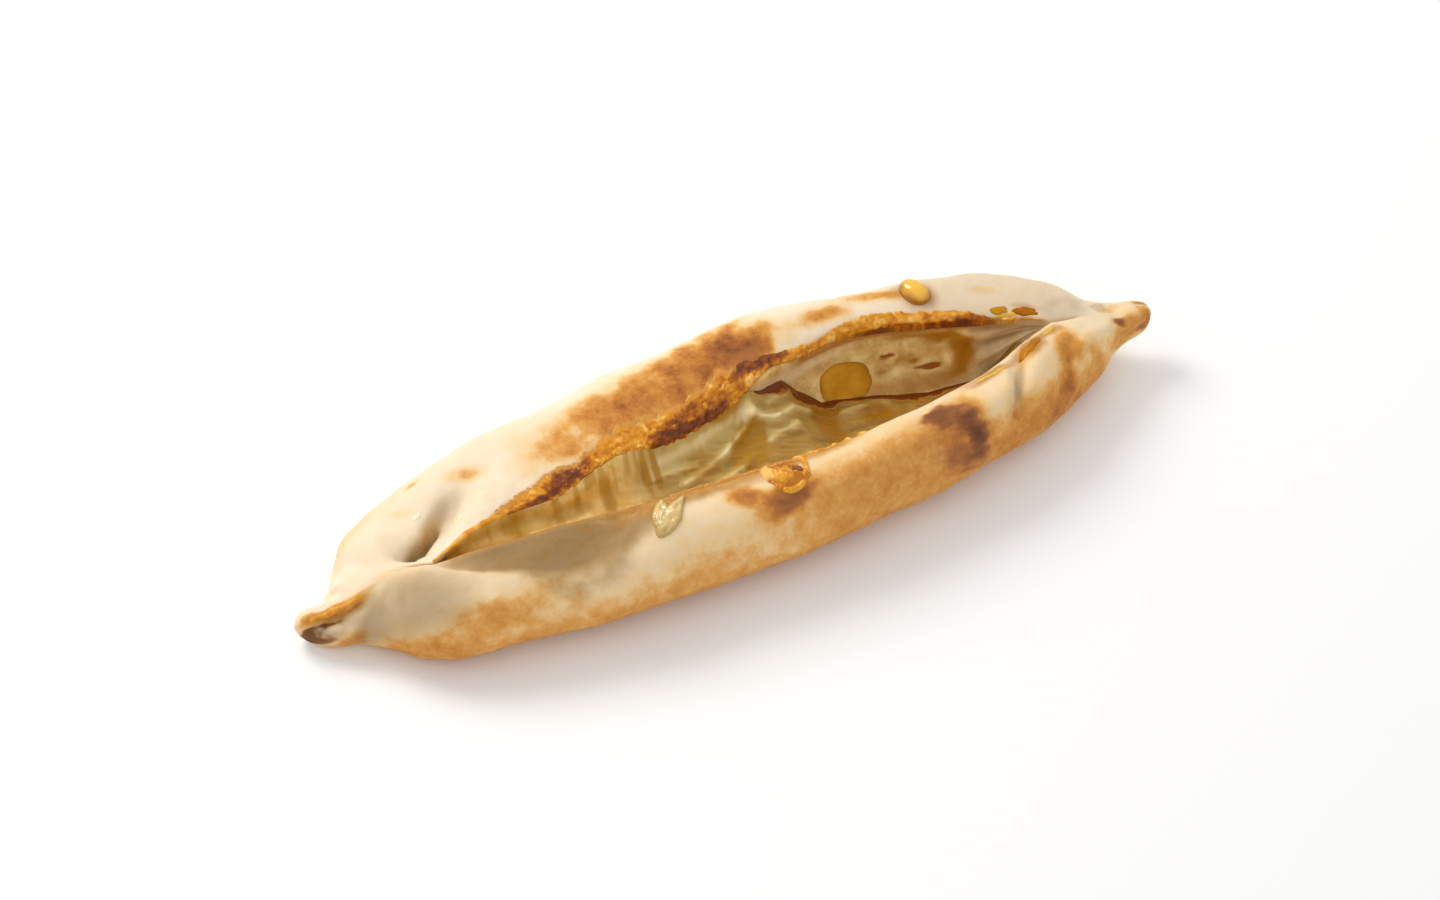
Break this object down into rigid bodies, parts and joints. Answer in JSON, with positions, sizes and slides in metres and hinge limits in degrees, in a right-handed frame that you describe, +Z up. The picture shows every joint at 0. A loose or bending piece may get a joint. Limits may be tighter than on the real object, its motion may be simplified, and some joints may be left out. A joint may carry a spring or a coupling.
{
  "type": "labneh and honey pie",
  "caption": "Boat-shaped baked flatbread pinched shut at both ends, with a long slot between rolled lips over a soft labneh filling, and drops of honey on top.",
  "frame": {"origin": "on the table, under the middle of the pie's bounding box", "axes": "+X along the pie towards its higher pinched end, +Y towards its back wall, +Z up"},
  "size_m": [0.24, 0.073, 0.0296],
  "materials": {
    "crust": "dry baked dough, pale cream with toasted brown patches",
    "labneh": "moist wrinkled skin, yellowish cream",
    "honey": "clear amber, wet gloss"
  },
  "bodies": {
    "root": {"bread": "crust", "labneh": "labneh", "honey_drop_back": "honey", "honey_drop_front": "honey", "honey_blister_front": "honey"}
  },
  "joints": []
}
